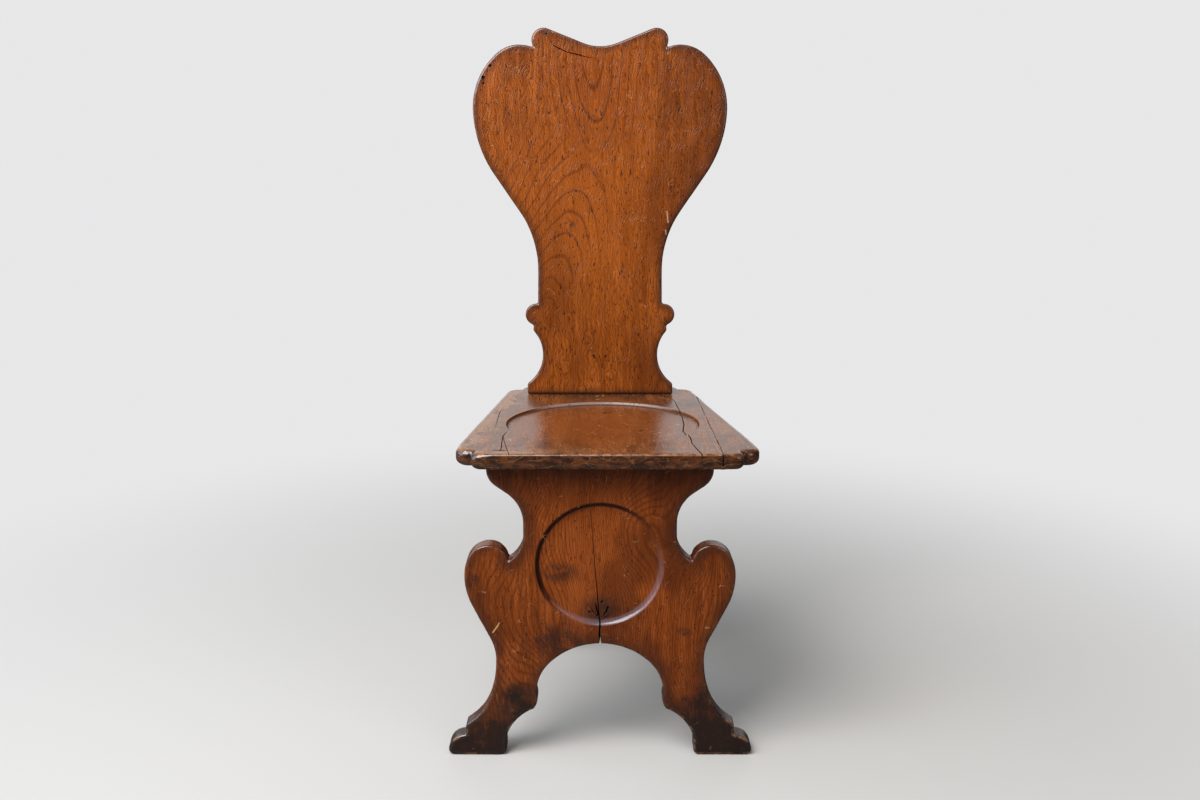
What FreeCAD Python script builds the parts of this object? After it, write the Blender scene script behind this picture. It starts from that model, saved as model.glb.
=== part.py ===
"""A plain sgabello: a plank chair of sawn boards, in millimetres, +Z up, front towards -Y.

Depths are counted from the front edge of the seat towards the rear and become Y by taking off half of the
overall depth, so the origin lies on the floor in the middle of the chair.
"""
import FreeCAD
import Part
import Sketcher
import math
import operator
import os

SIZES = {
    # seat plank
    "seat_height": 440,
    "seat_thickness": 22,
    "seat_front_left": 191,
    "seat_front_right": 211,
    "seat_rear_half": 150,
    "seat_ledge": 35,
    # indented corners of the seat
    "front_step": 22,
    "rear_step": 23,
    "nose_radius": 12,
    "nose_wrap_angle": 48,
    "ear_back": 38,
    "ear_bow": 8.5,
    # tapering strip on the right-hand edge of the seat
    "strip_width": 51,
    "strip_out": 3.5,
    "strip_tip": 2.5,
    "strip_stop": 79,
    "dowel_diameter": 8,
    "dowel_length": 36,
    "dowel_first": 62,
    "dowel_spacing": 80,
    # round dish in the seat
    "seat_dish_radius": 139,
    "seat_dish_depth": 4,
    "seat_dish_rim": 5,
    "seat_dish_back": 183,
    "seat_dish_offset": 4,
    # boards of the trestles and the back
    "board": 28,
    "overhang": 30,
    # half of the trestle's outline, from the arch round the foot and the ear to the top
    "arch_top": 165,
    "arch_bow": 6.4,
    "haunch_half": 66,
    "haunch_level": 139.5,
    "arch_half": 87.5,
    "arch_spring": 93,
    "knee_bow": 3.3,
    "knee_half": 91.5,
    "knee_level": 68.5,
    "heel_cove": 6.9,
    "heel_half": 130,
    "heel_level": 26,
    "sole_ease": 5,
    "toe_half": 211,
    "toe_bow": 7.5,
    "toe_level": 30.5,
    "instep_half": 186,
    "instep_level": 45.5,
    "instep_cove": 5.8,
    "shin_half": 150,
    "shin_level": 92,
    "shin_cove": 1.7,
    "ankle_half": 142.5,
    "ankle_level": 141,
    "ankle_cove": 1.8,
    "calf_half": 149.5,
    "calf_level": 171.5,
    "thigh_half": 174,
    "thigh_level": 220.5,
    "thigh_bow": 2.4,
    "ear_half": 183.5,
    "ear_level": 262,
    "ear_side_half": 177.5,
    "ear_side_level": 288.5,
    "ear_top_half": 152,
    "ear_top_level": 306,
    "notch_half": 124,
    "notch_level": 283.5,
    "notch_cove": 5.8,
    "waist_half": 103,
    "waist_level": 322,
    "throat_level": 337,
    "cyma_half": 122.5,
    "cyma_level": 376.5,
    "brow_half": 139.5,
    "brow_level": 388.5,
    "top_half": 151,
    "top_level": 412,
    "top_land": 6,
    # stub tenons of the trestles in the seat
    "stub_near": 48,
    "stub_far": 88,
    "stub_thickness": 14,
    "stub_height": 10,
    # round dish in the front trestle
    "front_dish_radius": 86.5,
    "front_dish_depth": 5,
    "front_dish_rim": 5.5,
    "front_dish_level": 278,
    # rear trestle: a narrower copy of the front one, raked
    "rear_share": 0.66,
    "rear_rake_angle": 10,
    "rear_gap": 69,
    # back board: half of its outline, from the seat to the dip between the horns
    "back_foot": 381,
    "back_rake_angle": 8,
    "base_half": 116,
    "base_rise": 18,
    "base_cove": 19.8,
    "lip_half": 107,
    "lip_rise": 103,
    "knob_under_half": 105.3,
    "knob_under_rise": 111.5,
    "knob_bow": 3.75,
    "knob_half": 119,
    "knob_rise": 128,
    "knob_top_rise": 145,
    "neck_half": 98.8,
    "neck_rise": 200,
    "flare_half": 127,
    "flare_rise": 290.5,
    "cheek_half": 168,
    "cheek_rise": 350,
    "lobe_half": 201,
    "lobe_rise": 452,
    "shoulder_half": 164,
    "shoulder_rise": 537.5,
    "crest_half": 103.6,
    "crest_rise": 547,
    "horn_bow": 3.45,
    "horn_side_half": 105.5,
    "horn_side_rise": 568.6,
    "horn_top_half": 89.2,
    "horn_top_rise": 578,
    "horn_end_half": 82.5,
    "horn_end_rise": 576.8,
    "dip_half": 27,
    "dip_edge_rise": 554.6,
    "dip_rise": 549.4,
    # tenons of the back, and the keys that lock them under the rear cleat
    "tenon_near": 38,
    "tenon_margin": 22,
    "tenon_thickness": 18,
    "tenon_tail": 10,
    "key_thickness": 10,
    "key_front": 14,
    "key_rear": 20,
    "key_clear": 3,
    "key_reach": 36,
    # cleats under the seat
    "cleat_length": 240,
    "cleat_height": 28,
    "front_cleat_width": 36,
    "rear_cleat_margin": 17,
    # stretcher between the trestles, and the key of its long tenon
    "stretcher_thickness": 26,
    "stretcher_height": 70,
    "stretcher_level": 260,
    "stretcher_tenon": 44,
    "stretcher_stub": 14,
    "stretcher_tail": 38,
    "stretcher_key_thickness": 9,
    "stretcher_key_length": 92,
    "stretcher_key_top": 19,
    "stretcher_key_foot": 13,
    # forged nails
    "nail_shank": 4,
    "nail_point": 1.6,
    "nail_head": 10,
    "nail_crown": 4,
    "nail_head_height": 3,
    "nail_bite": 10,
    "front_nail_inset": 35,
    "front_nail_offset": 42,
    "rear_nail_offset": 30,
}

doc = FreeCAD.newDocument("sgabello_chair")
sheet = doc.addObject("Spreadsheet::Sheet", "sizes")
for row, (alias, value) in enumerate(SIZES.items(), start=1):
    sheet.set(f"A{row}", alias)
    sheet.set(f"B{row}", str(value))
    sheet.setAlias(f"B{row}", alias)
doc.recompute()


# Measures: a value together with the sheet expression that it comes from

OPERATIONS = {"+": operator.add, "-": operator.sub, "*": operator.mul, "/": operator.truediv}


class Measure:
    """A length, share or angle that can be drawn now and bound to the sheet."""

    def __init__(self, value, text):
        self.value = value
        self.text = text

    def __add__(self, other):
        return combine(self, "+", other)

    def __sub__(self, other):
        return combine(self, "-", other)

    def __mul__(self, other):
        return combine(self, "*", other)

    def __truediv__(self, other):
        return combine(self, "/", other)

    def __neg__(self):
        return Measure(-self.value, f"(-1 * {self.text})")


def combine(left, sign, right):
    left = as_measure(left)
    right = as_measure(right)
    return Measure(OPERATIONS[sign](left.value, right.value), f"({left.text} {sign} {right.text})")


def as_measure(number):
    return number if isinstance(number, Measure) else Measure(number, str(number))


def size(alias):
    return Measure(sheet.get(alias), f"{sheet.Name}.{alias}")


def sine(angle):
    return Measure(math.sin(math.radians(angle.value)), f"sin({angle.text} * 1 deg)")


def cosine(angle):
    return Measure(math.cos(math.radians(angle.value)), f"cos({angle.text} * 1 deg)")


def tangent(angle):
    return sine(angle) / cosine(angle)


def bind(thing, **properties):
    """Sets each property from its measure; two underscores in a name stand for a dot."""
    for name, amount in properties.items():
        thing.setExpression(name.replace("__", "."), as_measure(amount).text)


ACROSS = (1, 0, 0)
BACKWARDS = (0, 1, 0)
UPRIGHT = (0, 0, 1)
ZERO = Measure(0, "0")


def place(thing, depth=ZERO, level=ZERO, across=ZERO, turn=ZERO, axis=ACROSS):
    """Stands a piece at its depth behind the seat's front edge, turned about the axis by an angle."""
    turn = as_measure(turn)
    thing.Placement = FreeCAD.Placement(FreeCAD.Vector(), FreeCAD.Rotation(FreeCAD.Vector(*axis), turn.value))
    bind(thing, Placement__Base__x=across, Placement__Base__y=depth - half_depth, Placement__Base__z=level)
    if turn is not ZERO:
        bind(thing, Placement__Rotation__Angle=turn)


# Sketches: closed outlines, drawn with the wood on the left of the line

STRAIGHT = "straight"
SMOOTH = "smooth"


def half_turn(chord, edge, heading):
    """Angle between an edge and its chord: zero for a line, positive for an arc that bulges out."""
    if edge == STRAIGHT:
        return 0
    if edge == SMOOTH:
        turn = math.atan2(chord.y, chord.x) - heading
        return (turn + math.pi) % (2 * math.pi) - math.pi
    return 2 * math.atan(2 * edge.value / chord.Length)


def draw_edge(sketch, start, end, turn):
    """Adds a line or an arc; returns it with the numbers of its start point and its end point."""
    chord = end - start
    outwards = FreeCAD.Vector(chord.y, -chord.x, 0)
    middle = (start + end) * 0.5 + outwards * (math.tan(turn / 2) / 2)
    line = sketch.addGeometry(Part.Arc(start, middle, end) if turn else Part.LineSegment(start, end), False)
    gaps = [sketch.getPoint(line, end_number).distanceToPoint(start) for end_number in (1, 2)]
    return (line, 1, 2) if gaps[0] < gaps[1] else (line, 2, 1)


def arc_radius(corner, following):
    """Radius of the arc between two corners that bows by a given height above its chord."""
    across = following[0] - corner[0]
    up = following[1] - corner[1]
    bow = corner[2]
    return (across * across + up * up) / (bow * 8) + bow / 2


def draw_outline(sketch, corners):
    """Draws corners (across, up, edge to the next corner) as lines and arcs, and binds them to the sheet.

    An edge is straight, or an arc that runs on smoothly from the edge before it, or an arc with a bow: a
    positive bow bulges out, a negative one is a cove.
    """
    following = corners[1:] + corners[:1]
    points = [FreeCAD.Vector(corner[0].value, corner[1].value, 0) for corner in corners]
    heading = 0
    edges = []
    for start, end, corner in zip(points, points[1:] + points[:1], corners):
        chord = end - start
        turn = half_turn(chord, corner[2], heading)
        heading = math.atan2(chord.y, chord.x) + turn
        edges.append(draw_edge(sketch, start, end, turn))
    for number, (across, up, edge) in enumerate(corners):
        line, first, last = edges[number]
        before = edges[number - 1]
        meeting = "Tangent" if edge == SMOOTH else "Coincident"
        sketch.addConstraint(Sketcher.Constraint(meeting, before[0], before[2], line, first))
        bind_distance(sketch, "DistanceX", line, first, across)
        bind_distance(sketch, "DistanceY", line, first, up)
        if isinstance(edge, Measure):
            radius = arc_radius(corners[number], following[number])
            held = sketch.addConstraint(Sketcher.Constraint("Radius", line, abs(radius.value)))
            sketch.setExpression(f"Constraints[{held}]", f"abs({radius.text})")


def bind_distance(sketch, kind, line, end, amount):
    """Fixes the end of a line at its distance from the sketch's origin, on the axis where that is zero."""
    if amount is ZERO:
        axis = {"DistanceX": -2, "DistanceY": -1}[kind]
        sketch.addConstraint(Sketcher.Constraint("PointOnObject", line, end, axis))
        return
    distance = sketch.addConstraint(Sketcher.Constraint(kind, -1, 1, line, end, amount.value))
    sketch.setExpression(f"Constraints[{distance}]", amount.text)


# Features

def origin_plane(body, role):
    return next(plane for plane in body.Origin.OriginFeatures if plane.Role == role)


def new_body(label):
    body = doc.addObject("PartDesign::Body", label)
    body.Label = label
    return body


def new_sketch(body, name, role, corners, **offset):
    sketch = body.newObject("Sketcher::SketchObject", name)
    sketch.AttachmentSupport = [(origin_plane(body, role), "")]
    sketch.MapMode = "FlatFace"
    for axis, amount in offset.items():
        sketch.setExpression(f"AttachmentOffset.Base.{axis}", amount.text)
    draw_outline(sketch, corners)
    return sketch


def pad(body, sketch, length, reverse=False, both_ways=False):
    feature = body.newObject("PartDesign::Pad", f"{sketch.Name}_pad")
    feature.Profile = sketch
    feature.Reversed = reverse
    feature.SideType = "Symmetric" if both_ways else "One side"
    bind(feature, Length=length)
    doc.recompute()
    return feature


def cut_across(body, sketch):
    """Takes a profile away over the whole width of a body."""
    before = body.Shape.Volume
    feature = body.newObject("PartDesign::Pocket", f"{sketch.Name}_cut")
    feature.Profile = sketch
    feature.SideType = "Symmetric"
    feature.Type = "ThroughAll"
    doc.recompute()
    require(body.Shape.Volume < before, f"{sketch.Name} cuts nothing")
    return feature


def turn_out(body, sketch, axis):
    """Takes a profile away all round an axis of its sketch."""
    before = body.Shape.Volume
    feature = body.newObject("PartDesign::Groove", f"{sketch.Name}_groove")
    feature.Profile = sketch
    feature.ReferenceAxis = (sketch, [axis])
    feature.Angle = 360
    doc.recompute()
    require(body.Shape.Volume < before, f"{sketch.Name} cuts nothing")
    return feature


def mirror(body, feature):
    copy = body.newObject("PartDesign::Mirrored", f"{feature.Name}_mirrored")
    copy.Originals = [feature]
    copy.MirrorPlane = (origin_plane(body, "YZ_Plane"), [""])
    body.Tip = copy
    doc.recompute()
    return copy


def bar(label, profile, width):
    """A piece with one side profile (depth, level), as wide as given, centred on its own middle."""
    body = new_body(label)
    pad(body, new_sketch(body, f"{label}_profile", "YZ_Plane", profile), width, both_ways=True)
    return body


def fitted(label, blank, *entering):
    """A blank with the pieces that enter it cut out of it, one after another."""
    blank.Label = f"{label}_blank"
    piece = blank
    for number, tool in enumerate(entering, start=1):
        cut = doc.addObject("Part::Cut", f"{label}_cut_{number}")
        cut.Base = piece
        cut.Tool = tool
        doc.recompute()
        require(cut.Shape.Volume < piece.Shape.Volume, f"{tool.Label} does not enter {label}")
        piece = cut
    piece.Label = label
    return piece


def group(label, pieces):
    compound = doc.addObject("Part::Compound", label)
    compound.Links = pieces
    compound.Label = label
    doc.recompute()
    return compound


def require(holds, message):
    if not holds:
        raise RuntimeError(message)


def rectangle(near, far, low, high):
    return [(near, low, STRAIGHT), (far, low, STRAIGHT), (far, high, STRAIGHT), (near, high, STRAIGHT)]


# Places that several pieces share

board = size("board")
back_rake = size("back_rake_angle")
rear_rake = size("rear_rake_angle")
underside = size("seat_height") - size("seat_thickness")
cleat_bottom = underside - size("cleat_height")
half_depth = (size("back_foot") + size("horn_top_rise") * sine(back_rake) + board * cosine(back_rake)) / 2
seat_depth = size("back_foot") + board / cosine(back_rake) + size("seat_ledge")
strip_end = seat_depth - size("strip_stop")
strip_front = size("seat_front_right") - size("strip_width")
strip_rear = size("seat_rear_half") + size("strip_out")
front_trestle_rear = size("overhang") + board
rear_trestle_foot = size("back_foot") - size("rear_gap") + underside * tangent(rear_rake)
tenon_shoulder = (board - size("tenon_thickness")) / 2
tenon_far = size("cleat_length") / 2 - size("tenon_margin")
lift = underside / (size("top_level") + size("top_land"))
rail_level = size("stretcher_level") * lift


def rear_trestle_depth(level, behind=ZERO):
    """Depth of the rear trestle's front face at a level, or of a plane that lies behind it."""
    return rear_trestle_foot - level * tangent(rear_rake) + behind / cosine(rear_rake)


def back_depth(level, behind):
    """Depth at a level of a plane that lies behind the back board's front face."""
    return size("back_foot") + (level - size("seat_height")) * tangent(back_rake) + behind / cosine(back_rake)


# Seat board, its edge strip and the dowels between them

nose_bow = size("nose_radius") - size("nose_radius") * cosine((size("nose_wrap_angle") + 90) / 2)


def nose(half, sign, edge, inward):
    """The round end of the seat's front or rear edge: where it starts, and the notch where it ends."""
    radius = size("nose_radius")
    wrap = size("nose_wrap_angle")
    start = (half - radius) * sign
    notch = (half - radius + radius * cosine(wrap)) * sign
    return start, (notch, edge + (radius + radius * sine(wrap)) * inward)


def seat_outline():
    front_start, front_notch = nose(size("seat_front_left") - size("front_step"), -1, ZERO, 1)
    tongue = size("seat_rear_half") - size("rear_step")
    right_start, right_notch = nose(tongue, 1, seat_depth, -1)
    left_start, left_notch = nose(tongue, -1, seat_depth, -1)
    rear_ear = seat_depth - size("ear_back")
    return [
        (strip_front, ZERO, STRAIGHT),
        (strip_rear, strip_end, STRAIGHT),
        (size("seat_rear_half"), rear_ear, size("ear_bow")),
        (*right_notch, nose_bow),
        (right_start, seat_depth, STRAIGHT),
        (left_start, seat_depth, nose_bow),
        (*left_notch, size("ear_bow")),
        (-size("seat_rear_half"), rear_ear, STRAIGHT),
        (-size("seat_front_left"), size("ear_back"), size("ear_bow")),
        (*front_notch, nose_bow),
        (front_start, ZERO, STRAIGHT),
    ]


def strip_outline():
    start, notch = nose(size("seat_front_right") - size("front_step"), 1, ZERO, 1)
    return [
        (strip_front, ZERO, STRAIGHT),
        (start, ZERO, nose_bow),
        (*notch, size("ear_bow")),
        (size("seat_front_right"), size("ear_back"), STRAIGHT),
        (strip_rear + size("strip_tip"), strip_end, STRAIGHT),
        (strip_rear, strip_end, STRAIGHT),
    ]


def seat_plank(label, outline):
    body = new_body(label)
    pad(body, new_sketch(body, f"{label}_outline", "XY_Plane", outline), size("seat_thickness"))
    place(body, ZERO, underside)
    return body


def strip_dowels():
    dowels = []
    slope = (strip_front - strip_rear) / strip_end
    for count in range(2):
        back = size("dowel_first") + size("dowel_spacing") * count
        across = strip_front - slope * back - size("dowel_length") / 2
        dowel = doc.addObject("Part::Cylinder", f"strip_dowel_{count + 1}")
        bind(dowel, Radius=size("dowel_diameter") / 2, Height=size("dowel_length"))
        place(dowel, back, underside + size("seat_thickness") / 2, across, 90, BACKWARDS)
        dowels.append(dowel)
    return group("seat_strip_dowels", dowels)


# Round dishes, with a coved rim

def seat_dish(body):
    """The dish in the seat, turned about an upright axis."""
    radius = size("seat_dish_radius")
    floor = size("seat_thickness") - size("seat_dish_depth")
    profile = [
        (ZERO, floor, STRAIGHT),
        (radius - size("seat_dish_rim"), floor, SMOOTH),
        (radius, size("seat_thickness"), STRAIGHT),
        (ZERO, size("seat_thickness"), STRAIGHT),
    ]
    middle = {"x": size("seat_dish_offset"), "z": -size("seat_dish_back")}
    turn_out(body, new_sketch(body, "seat_dish", "XZ_Plane", profile, **middle), "V_Axis")


def front_dish(body):
    """The dish in the face of the front trestle, turned about an axis square to the face."""
    radius = size("front_dish_radius")
    floor = size("front_dish_depth")
    level = size("front_dish_level") * lift
    profile = [
        (ZERO, radius, STRAIGHT),
        (ZERO, ZERO, STRAIGHT),
        (floor, ZERO, STRAIGHT),
        (floor, radius - size("front_dish_rim"), SMOOTH),
    ]
    turn_out(body, new_sketch(body, "front_dish", "YZ_Plane", profile, y=level), "H_Axis")


# Trestles

def trestle_outline(share, foot, top):
    """Right half of a trestle: its widths reduced to a share, its levels lifted to the height of the seat."""
    def corner(half, level, edge):
        return size(half) * share, size(level) * lift, edge

    return [
        (ZERO, size("arch_top") * lift, -size("arch_bow")),
        corner("haunch_half", "haunch_level", SMOOTH),
        corner("arch_half", "arch_spring", size("knee_bow")),
        corner("knee_half", "knee_level", -size("heel_cove")),
        corner("heel_half", "heel_level", STRAIGHT),
        (size("heel_half") * share, foot + size("sole_ease"), STRAIGHT),
        (size("heel_half") * share + size("sole_ease"), foot, STRAIGHT),
        (size("toe_half") * share - size("sole_ease"), foot, STRAIGHT),
        (size("toe_half") * share, foot + size("sole_ease"), size("toe_bow")),
        corner("instep_half", "toe_level", STRAIGHT),
        corner("instep_half", "instep_level", -size("instep_cove")),
        corner("shin_half", "shin_level", -size("shin_cove")),
        corner("ankle_half", "ankle_level", -size("ankle_cove")),
        corner("calf_half", "calf_level", STRAIGHT),
        corner("thigh_half", "thigh_level", size("thigh_bow")),
        corner("ear_half", "ear_level", SMOOTH),
        corner("ear_side_half", "ear_side_level", SMOOTH),
        corner("ear_top_half", "ear_top_level", SMOOTH),
        corner("notch_half", "notch_level", -size("notch_cove")),
        corner("waist_half", "waist_level", STRAIGHT),
        corner("waist_half", "throat_level", SMOOTH),
        corner("cyma_half", "cyma_level", STRAIGHT),
        corner("brow_half", "brow_level", SMOOTH),
        corner("top_half", "top_level", STRAIGHT),
        (size("top_half") * share, top, STRAIGHT),
        (ZERO, top, STRAIGHT),
    ]


def half_board(label, outline):
    """A board from half of its outline: front face on the XZ plane, thickness towards the rear."""
    body = new_body(label)
    mirror(body, pad(body, new_sketch(body, f"{label}_outline", "XZ_Plane", outline), board, reverse=True))
    return body


def tenon_pair(body, name, corners, thickness):
    """Two tenons in the middle of a board's thickness, one on each side."""
    sketch = new_sketch(body, name, "XZ_Plane", corners, z=(thickness - board) / 2)
    mirror(body, pad(body, sketch, thickness, reverse=True))


def front_trestle_blank():
    body = half_board("front_trestle", trestle_outline(Measure(1, "1"), ZERO, underside))
    front_dish(body)
    stub = rectangle(size("stub_near"), size("stub_far"), underside, underside + size("stub_height"))
    tenon_pair(body, "front_stub", stub, size("stub_thickness"))
    place(body, size("overhang"))
    return body


def rear_trestle_blank():
    """The rear board lies along its rake, so its sole and its top are bevelled."""
    bevel = board * tangent(rear_rake)
    top = underside / cosine(rear_rake)
    body = half_board("rear_trestle", trestle_outline(size("rear_share"), -bevel, top))
    sole = [(ZERO, ZERO, STRAIGHT), (ZERO, -bevel, STRAIGHT), (board, -bevel, STRAIGHT)]
    cut_across(body, new_sketch(body, "rear_sole_bevel", "YZ_Plane", sole))
    head = [(ZERO, top, STRAIGHT), (board, top - bevel, STRAIGHT), (board, top, STRAIGHT)]
    cut_across(body, new_sketch(body, "rear_top_bevel", "YZ_Plane", head))
    stub = rectangle(size("stub_near"), size("stub_far"), top - bevel, top + size("stub_height"))
    tenon_pair(body, "rear_stub", stub, size("stub_thickness"))
    place(body, rear_trestle_foot, turn=rear_rake)
    return body


# Back board

def back_outline():
    return [
        (ZERO, ZERO, STRAIGHT),
        (size("base_half"), ZERO, STRAIGHT),
        (size("base_half"), size("base_rise"), -size("base_cove")),
        (size("lip_half"), size("lip_rise"), STRAIGHT),
        (size("knob_under_half"), size("knob_under_rise"), size("knob_bow")),
        (size("knob_half"), size("knob_rise"), SMOOTH),
        (size("neck_half"), size("knob_top_rise"), STRAIGHT),
        (size("neck_half"), size("neck_rise"), SMOOTH),
        (size("flare_half"), size("flare_rise"), STRAIGHT),
        (size("cheek_half"), size("cheek_rise"), SMOOTH),
        (size("lobe_half"), size("lobe_rise"), SMOOTH),
        (size("shoulder_half"), size("shoulder_rise"), SMOOTH),
        (size("crest_half"), size("crest_rise"), size("horn_bow")),
        (size("horn_side_half"), size("horn_side_rise"), SMOOTH),
        (size("horn_top_half"), size("horn_top_rise"), SMOOTH),
        (size("horn_end_half"), size("horn_end_rise"), STRAIGHT),
        (size("dip_half"), size("dip_edge_rise"), SMOOTH),
        (ZERO, size("dip_rise"), STRAIGHT),
    ]


def back_blank():
    """The back stands on the seat with a bevelled foot, and its tenons go on down through seat and cleat."""
    bevel = board * tangent(back_rake)
    body = half_board("back_board", back_outline())
    foot = [(ZERO, ZERO, STRAIGHT), (board, ZERO, STRAIGHT), (board, bevel, STRAIGHT)]
    cut_across(body, new_sketch(body, "back_foot_bevel", "YZ_Plane", foot))
    depth = (size("seat_height") - cleat_bottom + size("key_rear")) / cosine(back_rake) + size("tenon_tail")
    tenon = rectangle(size("tenon_near"), tenon_far, -depth, size("base_rise"))
    tenon_pair(body, "back_tenon", tenon, size("tenon_thickness"))
    place(body, size("back_foot"), size("seat_height"), turn=-back_rake)
    return body


def back_key(label, sign):
    """A wedge from front to rear through a tenon of the back, hard up against the rear cleat."""
    front = rear_trestle_depth(cleat_bottom - size("key_rear"), board) + size("key_clear")
    rear = back_depth(cleat_bottom, board / 2) + size("key_reach")
    profile = [
        (front, cleat_bottom - size("key_front"), STRAIGHT),
        (rear, cleat_bottom - size("key_rear"), STRAIGHT),
        (rear, cleat_bottom, STRAIGHT),
        (front, cleat_bottom, STRAIGHT),
    ]
    key = bar(label, profile, size("key_thickness"))
    place(key, across=(size("tenon_near") + tenon_far) / 2 * sign)
    return key


# Cleats under the seat

def front_cleat_blank():
    rear = front_trestle_rear + size("front_cleat_width")
    profile = rectangle(front_trestle_rear, rear, cleat_bottom, underside)
    cleat = bar("front_cleat", profile, size("cleat_length"))
    place(cleat)
    return cleat


def rear_cleat_blank():
    rear = back_depth(underside, board - tenon_shoulder) + size("rear_cleat_margin")
    profile = [
        (rear_trestle_depth(cleat_bottom, board), cleat_bottom, STRAIGHT),
        (rear, cleat_bottom, STRAIGHT),
        (rear, underside, STRAIGHT),
        (rear_trestle_depth(underside, board), underside, STRAIGHT),
    ]
    cleat = bar("rear_cleat", profile, size("cleat_length"))
    place(cleat)
    return cleat


# Stretcher and its key

def stretcher_blank():
    """A rail with a stub tenon in front and a long tenon, for the key, behind."""
    low = rail_level - size("stretcher_height") / 2
    high = rail_level + size("stretcher_height") / 2
    tenon_low = rail_level - size("stretcher_tenon") / 2
    tenon_high = rail_level + size("stretcher_tenon") / 2
    stub = front_trestle_rear - size("stretcher_stub")
    tail = rear_trestle_depth(rail_level, board) + size("stretcher_tail")
    profile = [
        (front_trestle_rear, low, STRAIGHT),
        (rear_trestle_depth(low), low, STRAIGHT),
        (rear_trestle_depth(tenon_low), tenon_low, STRAIGHT),
        (tail, tenon_low, STRAIGHT),
        (tail, tenon_high, STRAIGHT),
        (rear_trestle_depth(tenon_high), tenon_high, STRAIGHT),
        (rear_trestle_depth(high), high, STRAIGHT),
        (front_trestle_rear, high, STRAIGHT),
        (front_trestle_rear, tenon_high, STRAIGHT),
        (stub, tenon_high, STRAIGHT),
        (stub, tenon_low, STRAIGHT),
        (front_trestle_rear, tenon_low, STRAIGHT),
    ]
    rail = bar("stretcher", profile, size("stretcher_thickness"))
    place(rail)
    return rail


def stretcher_key():
    """A wedge that lies along the rear face of the rear trestle, in the trestle's own raked frame."""
    middle = rail_level / cosine(rear_rake) - board * tangent(rear_rake)
    low = middle - size("stretcher_key_length") / 2
    high = middle + size("stretcher_key_length") / 2
    profile = [
        (board, low, STRAIGHT),
        (board + size("stretcher_key_foot"), low, STRAIGHT),
        (board + size("stretcher_key_top"), high, STRAIGHT),
        (board, high, STRAIGHT),
    ]
    key = bar("stretcher_key", profile, size("stretcher_key_thickness"))
    place(key, rear_trestle_foot, turn=rear_rake)
    return key


# Forged nails

def tapered(name, start, end, first, last):
    """A square spike or crown along Y, from one side length to another."""
    spike = doc.addObject("Part::Wedge", name)
    bind(spike, Ymin=start, Ymax=end, Xmin=-first / 2, Xmax=first / 2, Zmin=-first / 2, Zmax=first / 2)
    bind(spike, X2min=-last / 2, X2max=last / 2, Z2min=-last / 2, Z2max=last / 2)
    return spike


def nail(name, length):
    """A square nail driven along +Y into the surface Y = 0, with its head left standing on it."""
    nail_body = doc.addObject("Part::Fuse", name)
    nail_body.Base = tapered(f"{name}_shank", ZERO, length, size("nail_shank"), size("nail_point"))
    crown_from = -size("nail_head_height")
    nail_body.Tool = tapered(f"{name}_crown", crown_from, ZERO, size("nail_crown"), size("nail_head"))
    return nail_body


def front_cleat_nails():
    """Three nails up into the seat and two forward into the front trestle."""
    nails = []
    up = size("cleat_height") + size("nail_bite")
    forward = size("front_cleat_width") + size("nail_bite")
    for side in (-1, 0, 1):
        upright = nail(f"front_cleat_nail_up_{side + 2}", up)
        depth = front_trestle_rear + size("front_cleat_width") / 2
        across = size("cleat_length") / 2 - size("front_nail_inset")
        place(upright, depth, cleat_bottom, across * side, 90, ACROSS)
        nails.append(upright)
    for side in (-1, 1):
        level_nail = nail(f"front_cleat_nail_in_{side + 2}", forward)
        depth = front_trestle_rear + size("front_cleat_width")
        level = underside - size("cleat_height") / 2
        place(level_nail, depth, level, size("front_nail_offset") * side, 180, UPRIGHT)
        nails.append(level_nail)
    return group("front_cleat_nails", nails)


def rear_cleat_nails():
    """Three nails up into the seat and two back through the rear trestle into the cleat."""
    nails = []
    up = size("cleat_height") + size("nail_bite")
    back = board + size("nail_bite")
    level = underside - size("cleat_height") / 2
    for side in (-1, 0, 1):
        upright = nail(f"rear_cleat_nail_up_{side + 2}", up)
        depth = back_depth(cleat_bottom, board / 2)
        across = tenon_far + size("tenon_margin") / 2
        place(upright, depth, cleat_bottom, across * side, 90, ACROSS)
        nails.append(upright)
    for side in (-1, 1):
        raked = nail(f"rear_cleat_nail_in_{side + 2}", back)
        place(raked, rear_trestle_depth(level), level, size("rear_nail_offset") * side, rear_rake, ACROSS)
        nails.append(raked)
    return group("rear_cleat_nails", nails)


# Assembly: each piece is cut by the pieces that enter it

dowels = strip_dowels()
front_nails = front_cleat_nails()
rear_nails = rear_cleat_nails()
left_key = back_key("back_key_left", -1)
right_key = back_key("back_key_right", 1)
rail_key = stretcher_key()
back = fitted("back_board", back_blank(), left_key, right_key)
rail = fitted("stretcher", stretcher_blank(), rail_key)
front = fitted("front_trestle", front_trestle_blank(), rail, front_nails)
rear = fitted("rear_trestle", rear_trestle_blank(), rail, rear_nails)
front_cleat = fitted("front_cleat", front_cleat_blank(), front_nails)
rear_cleat = fitted("rear_cleat", rear_cleat_blank(), back, rear_nails)
seat_blank = seat_plank("seat_board", seat_outline())
seat_dish(seat_blank)
seat = fitted("seat_board", seat_blank, back, front, rear, dowels, front_nails, rear_nails)
strip = fitted("seat_edge_strip", seat_plank("seat_edge_strip", strip_outline()), dowels)

pieces = [
    seat, strip, dowels, back, left_key, right_key, front, rear, rail, rail_key,
    front_cleat, rear_cleat, front_nails, rear_nails,
]
doc.recompute()
for thing in doc.Objects:
    failed = "Invalid" in thing.State or "Error" in thing.State
    require(not failed, f"{thing.Label} failed: {thing.State}")
for piece in pieces:
    require(not piece.Shape.isNull() and piece.Shape.isValid(), f"{piece.Label} has no valid shape")

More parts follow.
